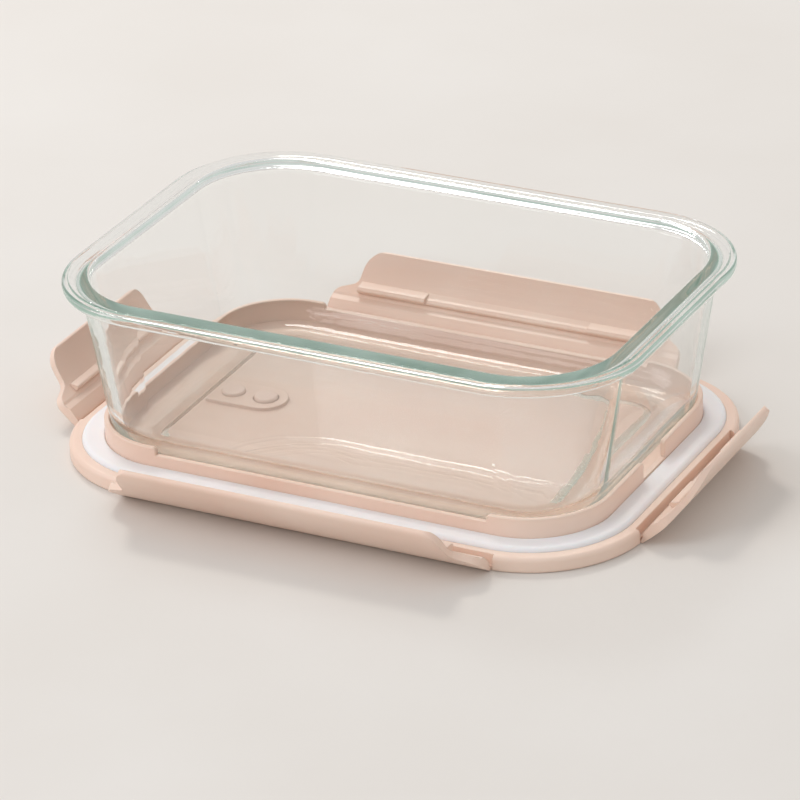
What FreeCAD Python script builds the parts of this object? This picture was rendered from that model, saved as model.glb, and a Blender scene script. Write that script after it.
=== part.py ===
import FreeCAD, Part
import os
from math import cos, hypot, radians, sin, sqrt

# A rectangular glass food box standing on its own snap lid, which lies upside down.
# Millimetres. The lid's outer face is at Z = 0 and centred on the origin, and +X runs
# along the long side. Each outline is the container's mouth, grown or shrunk by a reach.

os.makedirs("parts", exist_ok=True)
Vector = FreeCAD.Vector
UP = Vector(0, 0, 1)

# ---- the container's mouth, which the lid, the gasket and the clips follow ----
MOUTH_LENGTH = 187.0
MOUTH_DEPTH = 128.4
MOUTH_RADIUS = 30.3

# ---- glass container ----
GLASS_HEIGHT = 61.9          # foot to the top of the sealing lip
LIP_REACH = 7.0              # width of the ground sealing lip
LIP_RISE = 0.7               # lip above the flange
FLANGE_REACH = 9.0
FLANGE_THICKNESS = 3.6
WALL_AT_MOUTH = 3.0
WALL_AT_FOOT = 4.2
FLOOR_THICKNESS = 5.4        # foot to the inside of the floor
FOOT_HOLLOW = 2.4            # height of the hollow under the floor
FOOT_WIDTH = 16.0            # wall's outer line to the hollow's edge
OUTER_ROUND = 14.0           # outside, wall to foot
INNER_ROUND = 10.0           # inside, wall to floor
FOOT_RADIUS = 25.0           # outer corner radius at the foot

# ---- lid shell ----
LID_REACH = 9.8
LID_HEIGHT = 5.3
PANEL_TOP = 3.0
PANEL_HOLLOW = 0.8           # shallow hollow in the outer face
REST_WIDTH = 24.0            # width of the ring that the lid rests on
CHANNEL_REACH = 5.5          # outer wall of the gasket channel
CHANNEL_FLOOR = 2.4
PLUG_GAP_END = 2.4           # mouth to plug ring, at the short sides
PLUG_GAP_SIDE = 1.9          # mouth to plug ring, at the long sides
PLUG_WALL = 1.8
PLUG_TOP = 13.2
PLUG_LOW = 10.7              # ring's height along the middle of three sides
LOW_HALF_LONG = 60.0         # half length of that stretch, front and back
LOW_HALF_LEFT = 27.0         # half length of that stretch, left
NOTCH_HALF = 8.5             # pull notch for the gasket, right
NOTCH_FLOOR = 7.2
NEST_GAP = 0.6               # glass wall to the inside of the plug ring

# ---- gasket ----
GASKET_TOP = 6.7
GASKET_INNER_ROUND = 0.6
GASKET_OUTER_ROUND = 1.7     # domed down to the rim

# ---- clips ----
HINGE_HEIGHT = 0.8
BEAD_RADIUS = 0.6
BEAD_GAP = 0.3
CLIP_LENGTH = 27.2           # hinge axis to free edge
CLIP_THICKNESS = 2.2
EAR_HALF_LONG = 66.8         # half width at the hinge, front and back
EAR_HALF_SHORT = 37.9        # half width at the hinge, left and right
EAR_STEP = 8.0               # ears beyond the narrow part
EAR_TOP = 11.6
NECK_TOP = 14.8
TIP_TAPER = 1.5
CORNERS_RIGHT = (11.0, 3.5)  # free corners' radii: front, back
CORNERS_LEFT = (6.0, 6.0)
CORNERS_FRONT = (4.0, 5.5)   # left, right
CORNERS_BACK = (9.0, 9.0)
CLIP_BOW = 0.9               # how far the plate bulges outward
CLIP_CURL = 0.8              # how far its free edge turns back in
RIDGE_HEIGHT = 2.1
RIDGE_THIN = 1.1             # ridge height along its middle
RIDGE_WIDTH = 4.6
RIDGE_START = 10.8           # hinge axis to the ridge's catching face
RIDGE_INSET = 1.6            # ridge end to the narrow part's side
RIDGE_SHARE_SHORT = 0.68     # the short clips' ridges against the long clips'
THIN_SHARE_LONG = 31.0       # half length of the lower middle, front and back
THIN_SHARE_SHORT = 12.0
FLANGE_CLEARANCE = 0.4       # closed clip to the glass flange
POCKET_DEPTH = 1.9           # wall set back behind each clip
POCKET_FLOOR = 1.5
POCKET_END_GAP = 0.7
REST_OPENING_FRONT = 45.5    # degrees from closed, as stored
REST_OPENING_BACK = 41.0
REST_OPENING_SHORT = 37.0

# ---- steam vent ----
VENT_X = -51.4               # sealing plug's centre
VENT_PITCH = 12.4            # sealing plug to anchor
DISC_RADIUS = 4.2
DISC_ROUND = 1.0
PLUG_GAP = 0.25              # about the plug, at the pad's top
PLUG_GAP_OUTSIDE = 0.7       # about the plug, at the tab, so that it can swing out
VENT_DISC_RISE = 1.0         # discs above the pad
VENT_PAD_TOP = 4.0
VENT_PAD_HALF_WIDTH = 8.2
VENT_PAD_MARGIN = 7.6        # plug centre to the pad's round end
VENT_PAD_END_GAP = 1.4       # foot ring to the pad's square end
ANCHOR_STEM_RADIUS = 2.6
TAB_HALF_WIDTH = 5.6
TAB_THICKNESS = 1.3
TAB_GRIP = 8.5               # tab beyond the sealing plug
TAB_BOTTOM = 0.5
BEND_GAP = 0.3               # between the vent's two ends, at its bend
VENT_ROOF = 2.0              # roof of the tab's recess
VENT_CLEARANCE = 0.5

LIP_TOP = PANEL_TOP + GLASS_HEIGHT
FLANGE_TOP = LIP_TOP - LIP_RISE
FLANGE_BOTTOM = FLANGE_TOP - FLANGE_THICKNESS


# ---- outlines and solids made from them ----
def outline(reach):
    """The mouth's outline grown by reach: length, depth and corner radius."""
    return (MOUTH_LENGTH + 2 * reach, MOUTH_DEPTH + 2 * reach, MOUTH_RADIUS + reach)


def inset(shape, amount):
    return (shape[0] - 2 * amount, shape[1] - 2 * amount, shape[2] - amount)


def plug_outline():
    radius = MOUTH_RADIUS - (PLUG_GAP_END + PLUG_GAP_SIDE) / 2
    return (MOUTH_LENGTH - 2 * PLUG_GAP_END, MOUTH_DEPTH - 2 * PLUG_GAP_SIDE, radius)


def rounded_wire(shape, z):
    length, depth, radius = shape
    x = length / 2
    y = depth / 2
    diagonal = radius * (1 - sqrt(0.5))
    edges = []
    for sx, sy, first in ((1, 1, "x"), (-1, 1, "y"), (-1, -1, "x"), (1, -1, "y")):
        on_x = Vector(sx * x, sy * (y - radius), z)
        on_y = Vector(sx * (x - radius), sy * y, z)
        middle = Vector(sx * (x - diagonal), sy * (y - diagonal), z)
        start, end = (on_x, on_y) if first == "x" else (on_y, on_x)
        if edges:
            edges.append(Part.LineSegment(last, start).toShape())
        edges.append(Part.Arc(start, middle, end).toShape())
        last = end
    first_point = Vector(x, y - radius, z)
    edges.append(Part.LineSegment(last, first_point).toShape())
    return Part.Wire(edges)


def slab(shape, bottom, top):
    return Part.Face(rounded_wire(shape, bottom)).extrude(UP * (top - bottom))


def taper(low_shape, low, high_shape, high):
    return Part.makeLoft([rounded_wire(low_shape, low), rounded_wire(high_shape, high)], True, True)


def box(x0, x1, y0, y1, z0, z1):
    return Part.makeBox(x1 - x0, y1 - y0, z1 - z0, Vector(x0, y0, z0))


def distance_outside(shape, x, y):
    length, depth, radius = shape
    qx = abs(x) - length / 2 + radius
    qy = abs(y) - depth / 2 + radius
    return hypot(max(qx, 0), max(qy, 0)) + min(max(qx, qy), 0) - radius


def edges_on(solid, shape, z):
    """The edges of solid that lie at height z on the given outline."""
    found = []
    for edge in solid.Edges:
        bounds = edge.BoundBox
        if abs(bounds.ZMin - z) > 0.01 or abs(bounds.ZMax - z) > 0.01:
            continue
        middle = edge.valueAt((edge.FirstParameter + edge.LastParameter) / 2)
        if abs(distance_outside(shape, middle.x, middle.y)) < 0.02:
            found.append(edge)
    return found


def soften(solid, shape, z, radius):
    return solid.makeFillet(radius, edges_on(solid, shape, z))


# ---- glass container ----
def foot_outline():
    """Outer outline at the foot, so that the wall nests in the plug ring."""
    above_foot = PLUG_TOP - PANEL_TOP
    relief = OUTER_ROUND - sqrt(OUTER_ROUND ** 2 - (OUTER_ROUND - above_foot) ** 2)
    share = above_foot / (FLANGE_BOTTOM - PANEL_TOP)
    wall = outline(WALL_AT_MOUTH)
    nest = inset(plug_outline(), PLUG_WALL + NEST_GAP - relief)
    length = (nest[0] - share * wall[0]) / (1 - share)
    depth = (nest[1] - share * wall[1]) / (1 - share)
    return (length, depth, FOOT_RADIUS)


def glass_container():
    foot = foot_outline()
    wall = outline(WALL_AT_MOUTH)
    outside = taper(foot, PANEL_TOP, wall, FLANGE_BOTTOM)
    outside = soften(outside, foot, PANEL_TOP, OUTER_ROUND)
    flange = slab(outline(FLANGE_REACH), FLANGE_BOTTOM, FLANGE_TOP)
    flange = soften(flange, outline(FLANGE_REACH), FLANGE_BOTTOM, FLANGE_THICKNESS * 0.5)
    flange = soften(flange, outline(FLANGE_REACH), FLANGE_TOP, FLANGE_THICKNESS * 0.36)
    lip = slab(outline(LIP_REACH), FLANGE_TOP, LIP_TOP)
    lip = soften(lip, outline(LIP_REACH), LIP_TOP, LIP_RISE * 0.7)
    body = outside.fuse(flange).fuse(lip).removeSplitter()
    body = soften(body, wall, FLANGE_BOTTOM, WALL_AT_MOUTH * 0.7)
    floor = PANEL_TOP + FLOOR_THICKNESS
    share = FLOOR_THICKNESS / (FLANGE_BOTTOM - PANEL_TOP)
    inner = []
    for low, high in zip(foot, wall):
        inner.append(low + share * (high - low))
    inner_foot = inset(tuple(inner), WALL_AT_FOOT)
    cavity = taper(inner_foot, floor, outline(0), LIP_TOP)
    cavity = soften(cavity, inner_foot, floor, INNER_ROUND)
    body = body.cut(cavity)
    body = soften(body, outline(0), LIP_TOP, 1.1)
    hollow_edge = inset(foot, FOOT_WIDTH)
    hollow_roof = inset(foot, FOOT_WIDTH + FOOT_HOLLOW)
    hollow = taper(hollow_edge, PANEL_TOP, hollow_roof, PANEL_TOP + FOOT_HOLLOW)
    return body.cut(hollow)


# ---- lid shell ----
def side_cuts(half_long, half_short, near_reach, far_reach, z0, z1):
    """Four boxes, one along each side, between two reaches from the mouth."""
    x0 = MOUTH_LENGTH / 2 + near_reach
    x1 = MOUTH_LENGTH / 2 + far_reach
    y0 = MOUTH_DEPTH / 2 + near_reach
    y1 = MOUTH_DEPTH / 2 + far_reach
    return [
        box(x0, x1, -half_short, half_short, z0, z1),
        box(-x1, -x0, -half_short, half_short, z0, z1),
        box(-half_long, half_long, y0, y1, z0, z1),
        box(-half_long, half_long, -y1, -y0, z0, z1),
    ]


def vent_pad_left():
    """The pad's square end, just inside the container's foot ring."""
    return VENT_PAD_END_GAP - foot_outline()[0] / 2 + FOOT_WIDTH


def vent_pad(bottom, top):
    """Oblong pad with one round end, about the vent's two discs."""
    half = VENT_PAD_HALF_WIDTH
    right = VENT_X + VENT_PAD_MARGIN
    pad = box(vent_pad_left(), right - half, -half, half, bottom, top)
    end = Part.makeCylinder(half, top - bottom, Vector(right - half, 0, bottom), UP)
    return pad.fuse(end).removeSplitter()


def plug_ring():
    outer = plug_outline()
    inner = inset(outer, PLUG_WALL)
    ring = slab(outer, CHANNEL_FLOOR, PLUG_TOP).cut(slab(inner, CHANNEL_FLOOR, PLUG_TOP))
    reach = MOUTH_LENGTH
    low_long = box(-LOW_HALF_LONG, LOW_HALF_LONG, -reach, reach, PLUG_LOW, PLUG_TOP + 1)
    low_left = box(-reach, 0, -LOW_HALF_LEFT, LOW_HALF_LEFT, PLUG_LOW, PLUG_TOP + 1)
    notch = box(0, reach, -NOTCH_HALF, NOTCH_HALF, NOTCH_FLOOR, PLUG_TOP + 1)
    ring = ring.cut(low_long).cut(low_left).cut(notch)
    corners = []
    for edge in ring.Edges:
        bounds = edge.BoundBox
        across = max(bounds.XLength, bounds.YLength)
        at_step = abs(bounds.ZMin - PLUG_TOP) < 0.01 and abs(across - PLUG_WALL) < 0.1
        if at_step and abs(bounds.ZLength) < 0.01:
            corners.append(edge)
    ring = ring.makeFillet((PLUG_TOP - PLUG_LOW) * 0.6, corners)
    rims = []
    for height in (PLUG_TOP, PLUG_LOW):
        rims += edges_on(ring, outer, height)
        rims += edges_on(ring, inner, height)
    return ring.makeChamfer(PLUG_WALL * 0.18, rims)


def plug_hole():
    """Tapered hole for the vent's plug, wider toward the lid's outer face."""
    wide = DISC_RADIUS + PLUG_GAP_OUTSIDE
    narrow = DISC_RADIUS + PLUG_GAP
    return Part.makeCone(wide, narrow, VENT_PAD_TOP - VENT_ROOF, Vector(VENT_X, 0, VENT_ROOF), UP)


def lid_shell():
    rim = outline(LID_REACH)
    shell = slab(rim, 0, LID_HEIGHT)
    shell = soften(shell, rim, 0, 0.9)
    shell = soften(shell, rim, LID_HEIGHT, 1.5)
    pocket_long = EAR_HALF_LONG + POCKET_END_GAP
    pocket_short = EAR_HALF_SHORT + POCKET_END_GAP
    set_back = LID_REACH - POCKET_DEPTH
    beyond = LID_REACH + 5
    cuts = side_cuts(pocket_long, pocket_short, set_back, beyond, POCKET_FLOOR, LID_HEIGHT + 1)
    lip_end = LID_REACH - BEAD_RADIUS - BEAD_GAP
    cuts += side_cuts(pocket_long, pocket_short, lip_end, beyond, -1, POCKET_FLOOR + 1)
    for cut in cuts:
        shell = shell.cut(cut)
    shell = shell.cut(slab(outline(CHANNEL_REACH), CHANNEL_FLOOR, LID_HEIGHT + 1))
    shell = shell.fuse(slab(plug_outline(), 0, PANEL_TOP)).fuse(plug_ring())
    shell = shell.fuse(vent_pad(PANEL_TOP - 1, VENT_PAD_TOP))
    panel_hollow = inset(outline(LID_REACH), REST_WIDTH)
    shell = shell.cut(slab(panel_hollow, -1, PANEL_HOLLOW))
    tab_space = vent_tab(VENT_CLEARANCE, -1, VENT_ROOF)
    stem_hole = Part.makeCylinder(ANCHOR_STEM_RADIUS, 10, Vector(VENT_X - VENT_PITCH, 0, 0), UP)
    shell = shell.cut(tab_space).cut(plug_hole()).cut(stem_hole)
    return shell.removeSplitter()


# ---- gasket ----
def sealing_gasket():
    outer = outline(CHANNEL_REACH)
    inner = plug_outline()
    ring = slab(outer, CHANNEL_FLOOR, GASKET_TOP).cut(slab(inner, CHANNEL_FLOOR, GASKET_TOP))
    ring = soften(ring, outer, GASKET_TOP, GASKET_OUTER_ROUND)
    return soften(ring, inner, GASKET_TOP, GASKET_INNER_ROUND)


# ---- clips, first drawn closed: +X outward, +Y along the hinge, +Z to the free edge ----
def smooth(points):
    curve = Part.BSplineCurve()
    curve.interpolate([Vector(x, 0, z) for x, z in points])
    return curve.toShape()


def polyline(points):
    corners = [Vector(x, 0, z) for x, z in points]
    return [Part.LineSegment(a, b).toShape() for a, b in zip(corners, corners[1:])]


def clip_section():
    """Cross-section: a bowed plate, set back near the hinge to enter the lid's pocket."""
    inner = FLANGE_REACH + FLANGE_CLEARANCE - LID_REACH
    outer = inner + CLIP_THICKNESS
    foot = 0.4 - POCKET_DEPTH
    end = CLIP_LENGTH
    outside = [(BEAD_RADIUS, 0.0), (outer - 0.2, 4.5), (outer + CLIP_BOW * 0.8, 10.0),
               (outer + CLIP_BOW, 15.0), (outer + CLIP_BOW * 0.7, 20.5),
               (outer - CLIP_CURL, end - 0.9)]
    inside = [(inner - CLIP_CURL, end - 0.7), (inner + CLIP_BOW * 0.7, 20.0),
              (inner + CLIP_BOW, 15.0), (inner, RIDGE_START - 0.4)]
    edges = [smooth(outside), smooth(inside)]
    edges += polyline([outside[-1], (outer - CLIP_CURL - 0.5, end - 0.2),
                       (inner - CLIP_CURL + 1.1, end), (inner - CLIP_CURL + 0.4, end - 0.1), inside[0]])
    edges += polyline([inside[-1], (inner, 9.4), (foot, 7.4), (foot, 2.6),
                       (-BEAD_RADIUS, 1.0), (-BEAD_RADIUS, 0.0)])
    left = Vector(-BEAD_RADIUS, 0, 0)
    bottom = Vector(0, 0, -BEAD_RADIUS)
    right = Vector(BEAD_RADIUS, 0, 0)
    edges.append(Part.Arc(left, bottom, right).toShape())
    return Part.Wire(Part.__sortEdges__(edges))


def clip_blank(ear_half, corners):
    """The clip seen from outside: wide ears at the hinge, a neck, and a rounded free end."""
    neck = ear_half - EAR_STEP
    tip = neck - TIP_TAPER
    low = -BEAD_RADIUS - 1
    half = [(ear_half, low), (ear_half, EAR_TOP), (neck, NECK_TOP), (tip, CLIP_LENGTH)]
    mirrored = [(-y, z) for y, z in reversed(half)]
    depth = 14.0
    points = [Vector(-depth / 2, y, z) for y, z in half + mirrored]
    blank = Part.Face(Part.makePolygon(points + [points[0]])).extrude(Vector(depth, 0, 0))
    rounds = []
    for (y, z), radius in zip(half[1:3], (4.2, 3.0)):
        rounds += [(y, z, radius), (-y, z, radius)]
    rounds += [(-tip, CLIP_LENGTH, corners[0]), (tip, CLIP_LENGTH, corners[1])]
    for y, z, radius in rounds:
        edges = []
        for edge in blank.Edges:
            middle = edge.valueAt((edge.FirstParameter + edge.LastParameter) / 2)
            if abs(middle.y - y) < 0.01 and abs(middle.z - z) < 0.01 and abs(middle.x) < 0.01:
                edges.append(edge)
        blank = blank.makeFillet(radius, edges)
    return blank


def ridge_bar(height, share, y0, y1):
    inner = FLANGE_REACH + FLANGE_CLEARANCE - LID_REACH
    start = RIDGE_START
    end = RIDGE_START + RIDGE_WIDTH * share
    crest = inner - height * share
    root = inner + CLIP_BOW + 0.4
    corners = [(root, start), (crest + 0.3, start + 0.2), (crest, start + 0.6),
               (crest, start + 1.8 * share), (crest + 0.7 * share, start + 2.7 * share),
               (inner + 0.3, end), (root, end)]
    points = [Vector(x, y0, z) for x, z in corners]
    return Part.Face(Part.makePolygon(points + [points[0]])).extrude(Vector(0, y1 - y0, 0))


def closed_clip(ear_half, thin_half, share, corners):
    section = Part.Face(clip_section())
    plate = section.translated(Vector(0, -ear_half - 1, 0)).extrude(Vector(0, 2 * ear_half + 2, 0))
    plate = plate.common(clip_blank(ear_half, corners))
    ridge_end = ear_half - EAR_STEP - RIDGE_INSET
    bars = [
        ridge_bar(RIDGE_THIN, share, -thin_half, thin_half),
        ridge_bar(RIDGE_HEIGHT, share, thin_half, ridge_end),
        ridge_bar(RIDGE_HEIGHT, share, -ridge_end, -thin_half),
    ]
    for bar in bars:
        plate = plate.fuse(bar)
    return plate.removeSplitter()


def placed_clip(clip, opening, heading):
    """The clip opened by its angle and moved to the side that faces heading degrees."""
    clip.rotate(Vector(0, 0, 0), Vector(0, 1, 0), opening)
    span = MOUTH_LENGTH if heading % 180 == 0 else MOUTH_DEPTH
    clip.translate(Vector(span / 2 + LID_REACH, 0, HINGE_HEIGHT))
    clip.rotate(Vector(0, 0, 0), UP, heading)
    return clip


def long_clip(corners, opening, heading):
    clip = closed_clip(EAR_HALF_LONG, THIN_SHARE_LONG, 1.0, corners)
    return placed_clip(clip, opening, heading)


def short_clip(corners, heading):
    clip = closed_clip(EAR_HALF_SHORT, THIN_SHARE_SHORT, RIDGE_SHARE_SHORT, corners)
    return placed_clip(clip, REST_OPENING_SHORT, heading)


# ---- steam vent ----
def vent_tab(grow, bottom, top):
    """Outline of the vent's strip: round behind the anchor, and at the grip."""
    half = TAB_HALF_WIDTH + grow
    left = VENT_X - VENT_PITCH
    right = VENT_X + DISC_RADIUS + TAB_GRIP - TAB_HALF_WIDTH
    strip = box(left, right, -half, half, bottom, top)
    for x in (left, right):
        strip = strip.fuse(Part.makeCylinder(half, top - bottom, Vector(x, 0, bottom), UP))
    return strip.removeSplitter()


def vent_hinge_x():
    return VENT_X - VENT_PITCH / 2


def domed_disc(x, radius, bottom, top, rounding):
    disc = Part.makeCylinder(radius, top - bottom, Vector(x, 0, bottom), UP)
    edges = [edge for edge in disc.Edges if abs(edge.BoundBox.ZMin - top) < 0.01]
    return disc.makeFillet(rounding, edges)


def vent_anchor():
    x = VENT_X - VENT_PITCH
    strip = vent_tab(0, TAB_BOTTOM, TAB_BOTTOM + TAB_THICKNESS)
    end = vent_hinge_x() - TAB_THICKNESS / 2 - BEND_GAP
    keep = box(x - 20, end, -20, 20, 0, 10)
    stem = Part.makeCylinder(ANCHOR_STEM_RADIUS, VENT_PAD_TOP - TAB_BOTTOM, Vector(x, 0, TAB_BOTTOM), UP)
    head = domed_disc(x, DISC_RADIUS, VENT_PAD_TOP, VENT_PAD_TOP + VENT_DISC_RISE, DISC_ROUND * 0.7)
    return strip.common(keep).fuse(stem).fuse(head).removeSplitter()


def vent_flap():
    strip = vent_tab(0, TAB_BOTTOM, TAB_BOTTOM + TAB_THICKNESS)
    keep = box(vent_hinge_x(), VENT_X + 40, -20, 20, 0, 10)
    bend = Vector(vent_hinge_x(), -TAB_HALF_WIDTH, TAB_BOTTOM + TAB_THICKNESS / 2)
    nose = Part.makeCylinder(TAB_THICKNESS / 2, 2 * TAB_HALF_WIDTH, bend, Vector(0, 1, 0))
    top = VENT_PAD_TOP + VENT_DISC_RISE
    plug = domed_disc(VENT_X, DISC_RADIUS, TAB_BOTTOM, top, DISC_ROUND)
    return strip.common(keep).fuse(nose).fuse(plug).removeSplitter()


def export(name, shape):
    if not shape.isValid() or len(shape.Solids) != 1:
        raise ValueError("%s is not one valid solid" % name)
    shape.Solids[0].exportStep("parts/%s.step" % name)
    bounds = shape.BoundBox
    print(name, round(shape.Volume, 1), [round(v, 2) for v in (
        bounds.XMin, bounds.XMax, bounds.YMin, bounds.YMax, bounds.ZMin, bounds.ZMax)])


export("glass_container", glass_container())
export("lid_shell", lid_shell())
export("sealing_gasket", sealing_gasket())
export("clip_right", short_clip(CORNERS_RIGHT, 0))
export("clip_back", long_clip(tuple(reversed(CORNERS_BACK)), REST_OPENING_BACK, 90))
export("clip_left", short_clip(tuple(reversed(CORNERS_LEFT)), 180))
export("clip_front", long_clip(CORNERS_FRONT, REST_OPENING_FRONT, 270))
export("vent_anchor", vent_anchor())
export("vent_flap", vent_flap())
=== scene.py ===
from math import cos, radians, sin

import bpy
from mathutils import Matrix, Vector

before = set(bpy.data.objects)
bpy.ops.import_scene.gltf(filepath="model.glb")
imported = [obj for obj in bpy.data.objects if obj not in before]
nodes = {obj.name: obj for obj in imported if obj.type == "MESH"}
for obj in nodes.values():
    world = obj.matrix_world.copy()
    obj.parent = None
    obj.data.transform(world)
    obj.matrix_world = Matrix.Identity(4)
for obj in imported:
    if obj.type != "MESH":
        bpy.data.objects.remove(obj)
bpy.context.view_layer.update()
scene = bpy.context.scene

MM = 0.001
REFRACTION = 1.49            # index of the polypropylene, and near enough the glass's
EDGE_ROUND = 0.5 * MM        # rounding that light finds on every moulded edge
RIPPLES_START = 50 * MM      # height where the glass begins to ripple
RIPPLES_FULL = 60 * MM
RIM_TOP = 65 * MM            # top of the sealing lip

# A ray that has bounced more often than this takes a painted glow in place of the light in the
# glass wall.
INNER_REFLECTIONS = 2.5
ALL_BOUNCES = 8.5
FACES_IN_FRONT = 2.5         # fewer faces than this are crossed before a near wall

# The camera's place: degrees, then metres.
VIEW_AZIMUTH = 27.18
VIEW_ELEVATION = 25.92
VIEW_ROLL = -1.83
VIEW_DISTANCE = 1.63439
VIEW_TARGET = (0.0001, 0.00005, 0.01395)
LIGHT_TARGET = (0, 0, 0.03)


# ---- colour and node helpers ----
def linear(code):
    """sRGB hex code to the linear RGBA that Blender's shaders take."""
    values = []
    for i in (0, 2, 4):
        c = int(code[i:i + 2], 16) / 255
        values.append(c / 12.92 if c <= 0.04045 else ((c + 0.055) / 1.055) ** 2.4)
    return tuple(values) + (1.0,)


def new_material(name):
    material = bpy.data.materials.new(name)
    material.use_nodes = True
    tree = material.node_tree
    return material, tree, tree.nodes["Principled BSDF"]


def node(tree, kind, settings=None, inputs=None):
    """Adds a node, with its settings, values and links. An input's key is its name or place."""
    made = tree.nodes.new(kind)
    for name, value in (settings or {}).items():
        setattr(made, name, value)
    for name, value in (inputs or {}).items():
        if isinstance(value, bpy.types.NodeSocket):
            tree.links.new(value, made.inputs[name])
        else:
            made.inputs[name].default_value = value
    return made


def ramp(tree, factor, stops):
    made = node(tree, "ShaderNodeValToRGB", inputs={"Fac": factor})
    elements = made.color_ramp.elements
    while len(elements) < len(stops):
        elements.new(0.5)
    for element, (place, code) in zip(elements, stops):
        element.position = place
        element.color = linear(code)
    return made.outputs["Color"]


def map_range(tree, value, start, end, low=0.0, high=1.0):
    made = node(tree, "ShaderNodeMapRange", inputs={
        "Value": value, "From Min": start, "From Max": end, "To Min": low, "To Max": high})
    return made.outputs["Result"]


def math_node(tree, operation, first, second):
    made = node(tree, "ShaderNodeMath", {"operation": operation}, {0: first, 1: second})
    return made.outputs["Value"]


def mix_colours(tree, factor, first, second, blend="MIX"):
    # Places 0, 6 and 7 are the node's factor and its two colours; output 2 is the colour.
    made = node(tree, "ShaderNodeMix", {"data_type": "RGBA", "blend_type": blend},
                {0: factor, 6: first, 7: second})
    return made.outputs[2]


def mix_shaders(tree, factor, first, second):
    made = node(tree, "ShaderNodeMixShader", inputs={0: factor, 1: first, 2: second})
    return made.outputs["Shader"]


def object_place(tree):
    return node(tree, "ShaderNodeTexCoord").outputs["Object"]


def noise(tree, millimetres, detail):
    """Noise whose largest features are about the given size."""
    made = node(tree, "ShaderNodeTexNoise", inputs={
        "Vector": object_place(tree), "Scale": 1 / (millimetres * MM), "Detail": detail,
        "Roughness": 0.5})
    return made.outputs["Fac"]


# ---- materials ----
def moulded(name, dark, light, roughness, subsurface, radius_mm, grain_mm):
    """Moulded polymer: slightly uneven colour, fine grain, light that enters a little."""
    material, tree, shader = new_material(name)
    cloud = noise(tree, 60.0, 2.0)
    tree.links.new(ramp(tree, cloud, [(0.35, dark), (0.65, light)]), shader.inputs["Base Color"])
    patch = noise(tree, 18.0, 4.0)
    spread = map_range(tree, patch, 0.3, 0.7, roughness - 0.05, roughness + 0.05)
    tree.links.new(spread, shader.inputs["Roughness"])
    edge = node(tree, "ShaderNodeBevel", {"samples": 4}, {"Radius": EDGE_ROUND})
    grain = node(tree, "ShaderNodeBump", inputs={
        "Height": noise(tree, grain_mm, 2.0), "Distance": 0.01 * MM, "Strength": 0.5,
        "Normal": edge.outputs["Normal"]})
    tree.links.new(grain.outputs["Normal"], shader.inputs["Normal"])
    shader.inputs["IOR"].default_value = REFRACTION
    shader.inputs["Subsurface Weight"].default_value = subsurface
    shader.inputs["Subsurface Radius"].default_value = (1.0, 0.62, 0.5)
    shader.inputs["Subsurface Scale"].default_value = radius_mm * MM
    return material


def glass_surface(tree, height):
    """The glass's normal: long waves of the pressing, and fine ripples near the rim."""
    waves = node(tree, "ShaderNodeBump", inputs={
        "Height": noise(tree, 45.0, 1.0), "Distance": 0.6 * MM, "Strength": 0.3})
    near_rim = map_range(tree, height, RIPPLES_START, RIPPLES_FULL, 0.0, 0.2)
    ripples = node(tree, "ShaderNodeBump", inputs={
        "Height": noise(tree, 12.0, 1.0), "Distance": 0.6 * MM, "Strength": near_rim,
        "Normal": waves.outputs["Normal"]})
    return ripples.outputs["Normal"]


def painted_wall_glow(tree, height, path):
    """Painted glow, standing in for light that has run a long way in the wall: grey-green,
    paler toward the rim and palest in the flange, and a painted copy of the lid's pink where it
    is seen through a wall."""
    # Painted glow by height: grey-green, paler toward the rim and palest in the flange.
    level = map_range(tree, height, 0.0, RIM_TOP)
    glow_by_height = ramp(tree, level, [
        (0.0, "C8B9AD"), (0.2, "AFB8B0"), (0.5, "A6B9AF"),
        (0.75, "CAD9CE"), (0.9, "CAD9CE"), (0.93, "E6EAE7")])
    # Noise makes the painted glow streaky.
    glow_streaks = ramp(tree, noise(tree, 25.0, 2.0), [(0.35, "D2DDD8"), (0.65, "FFFFFF")])
    varied_glow = mix_colours(tree, 1.0, glow_by_height, glow_streaks, "MULTIPLY")
    # Painted copy of the lid's pink, on rays that have crossed more faces than lie before a near
    # wall.
    painted_pink_mask = math_node(tree, "GREATER_THAN", path["Transmission Depth"], FACES_IN_FRONT)
    return mix_colours(tree, painted_pink_mask, varied_glow, linear("E0CABC"))


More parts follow.
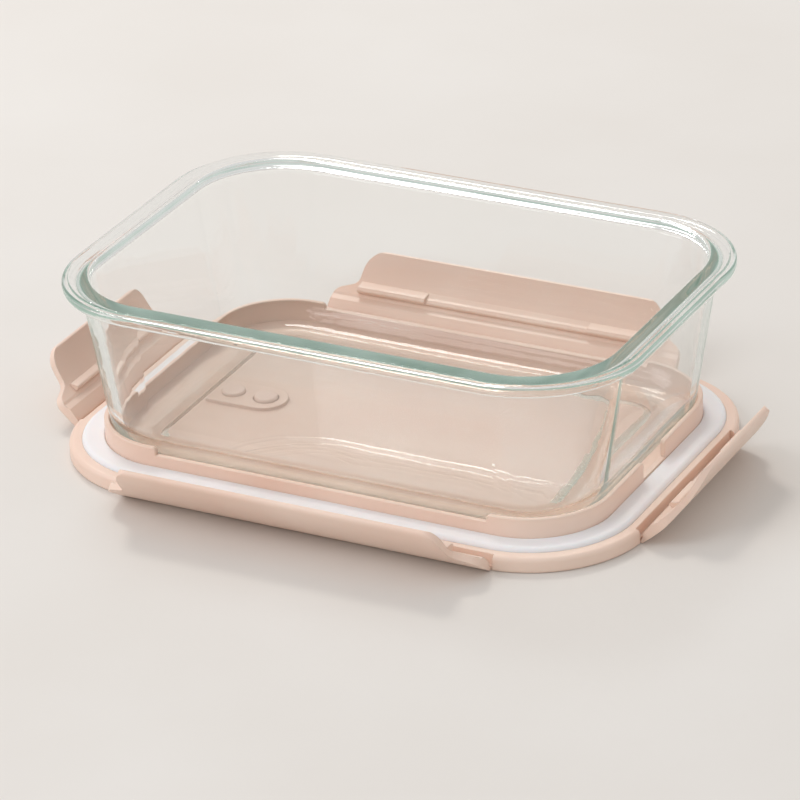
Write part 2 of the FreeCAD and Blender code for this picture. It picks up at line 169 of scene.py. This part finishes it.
def pressed_glass():
    """Clear through its faces, green where light runs along its walls: a real tint, and a painted
    glow on rays that bounce too often.
    """
    material, tree, shader = new_material("borosilicate_glass_pressed")
    shader.inputs["Base Color"].default_value = linear("FFFFFF")
    shader.inputs["Transmission Weight"].default_value = 1.0
    shader.inputs["IOR"].default_value = REFRACTION
    shader.inputs["Roughness"].default_value = 0.0
    height = node(tree, "ShaderNodeSeparateXYZ", inputs={
        "Vector": object_place(tree)}).outputs["Z"]
    tree.links.new(glass_surface(tree, height), shader.inputs["Normal"])
    path = node(tree, "ShaderNodeLightPath").outputs
    # Painted glow: an emission that stands in for light running along the wall, on rays that
    # bounce too often.
    glow = node(tree, "ShaderNodeEmission", inputs={
        "Color": painted_wall_glow(tree, height, path), "Strength": 0.9})
    turned = math_node(tree, "GREATER_THAN", path["Glossy Depth"], INNER_REFLECTIONS)
    crossed = math_node(tree, "GREATER_THAN", path["Ray Depth"], ALL_BOUNCES)
    painted_glow_mask = math_node(tree, "MAXIMUM", turned, crossed)
    body = mix_shaders(tree, painted_glow_mask, shader.outputs["BSDF"], glow.outputs["Emission"])
    # Shadows and bounced light go straight through, losing a little at each face.
    clear = node(tree, "ShaderNodeBsdfTransparent", inputs={"Color": linear("F1EEEC")})
    spread = mix_shaders(tree, path["Is Diffuse Ray"], body, clear.outputs["BSDF"])
    lit = mix_shaders(tree, path["Is Shadow Ray"], spread, clear.outputs["BSDF"])
    output = tree.nodes["Material Output"]
    tree.links.new(lit, output.inputs["Surface"])
    tint = node(tree, "ShaderNodeVolumeAbsorption", inputs={
        "Color": linear("C4E3D8"), "Density": 9.0})
    tree.links.new(tint.outputs["Volume"], output.inputs["Volume"])
    return material


def dress(names, material):
    """Gives the CAD nodes the material, in every one of their slots."""
    for name in names:
        mesh = nodes[name].data
        for index in range(len(mesh.materials)):
            mesh.materials[index] = material


# Satin pink polypropylene, injection moulded: soft broad highlights over a warm, milky body.
polypropylene = moulded(
    "polypropylene_satin_moulded", "EACDBC", "F1DACB", 0.38, 0.12, 1.5, 0.35)
# White silicone, compression moulded: near-white, matt, with light glowing inside its edges.
silicone_white = moulded("silicone_white_moulded", "E9E8EA", "F1F1F4", 0.5, 0.25, 2.0, 0.3)
# Pink silicone, moulded: paler and more even than the lid, matt to the touch.
silicone_pink = moulded("silicone_pink_moulded", "EBD1C3", "F1DCD0", 0.42, 0.2, 1.5, 0.3)

dress(["glass_container"], pressed_glass())
dress(["lid_shell", "clip_front", "clip_back", "clip_left", "clip_right"], polypropylene)
dress(["sealing_gasket"], silicone_white)
dress(["vent_anchor", "vent_flap"], silicone_pink)


# ---- floor, light and camera ----
def floor():
    mesh = bpy.data.meshes.new("floor")
    reach = 3.0
    corners = [(-reach, -reach, 0), (reach, -reach, 0), (reach, reach, 0), (-reach, reach, 0)]
    mesh.from_pydata(corners, [], [(0, 1, 2, 3)])
    piece = bpy.data.objects.new("floor", mesh)
    scene.collection.objects.link(piece)
    # Pale matt table top: quiet warm white with the faintest mottling.
    material, tree, shader = new_material("tabletop_matt_painted")
    mottle = ramp(tree, noise(tree, 120.0, 4.0), [(0.3, "DBD7D2"), (0.7, "DFDCD8")])
    tree.links.new(mottle, shader.inputs["Base Color"])
    shader.inputs["Roughness"].default_value = 0.7
    mesh.materials.append(material)


def area_light(name, place, size, power, colour):
    data = bpy.data.lights.new(name, "AREA")
    data.shape = "RECTANGLE"
    data.size, data.size_y = size
    data.energy = power
    data.color = linear(colour)[:3]
    lamp = bpy.data.objects.new(name, data)
    lamp.location = place
    aim = Vector(LIGHT_TARGET) - Vector(place)
    lamp.rotation_euler = aim.to_track_quat("-Z", "Y").to_euler()
    scene.collection.objects.link(lamp)


def world_light():
    """An even pale studio, a little warmer and darker toward the horizon."""
    world = bpy.data.worlds.new("studio")
    scene.world = world
    world.use_nodes = True
    tree = world.node_tree
    background = tree.nodes["Background"]
    height = node(tree, "ShaderNodeSeparateXYZ", inputs={
        "Vector": node(tree, "ShaderNodeTexCoord").outputs["Generated"]}).outputs["Z"]
    sky = ramp(tree, height, [(0.0, "DAD4CE"), (0.25, "EAE7E4"), (1.0, "F6F6F6")])
    tree.links.new(sky, background.inputs["Color"])
    background.inputs["Strength"].default_value = 0.82


def camera():
    """Long lens, slightly above and to the right, with a small roll."""
    azimuth, elevation, roll = radians(VIEW_AZIMUTH), radians(VIEW_ELEVATION), radians(VIEW_ROLL)
    back = Vector((sin(azimuth) * cos(elevation), -cos(azimuth) * cos(elevation), sin(elevation)))
    ahead = -back
    right = ahead.cross(Vector((0, 0, 1))).normalized()
    up = right.cross(ahead)
    turned_right = right * cos(roll) + up * sin(roll)
    turned_up = up * cos(roll) - right * sin(roll)
    data = bpy.data.cameras.new("camera")
    data.lens = 220.95
    data.sensor_width = 36.0
    data.shift_x = -0.005
    data.shift_y = 0.0016
    data.clip_start, data.clip_end = 0.1, 20.0
    view = bpy.data.objects.new("camera", data)
    turn = Matrix((turned_right, turned_up, back)).transposed().to_4x4()
    place = Vector(VIEW_TARGET) + back * VIEW_DISTANCE
    view.matrix_world = Matrix.Translation(place) @ turn
    scene.collection.objects.link(view)
    scene.camera = view


scene.view_settings.view_transform = "Standard"
floor()
area_light("window", (-0.9, 1.0, 1.5), (0.5, 0.4), 11.0, "FFFBF6")
area_light("fill", (-1.4, -1.2, 1.3), (1.4, 1.2), 16.0, "FCFBFF")
world_light()
camera()
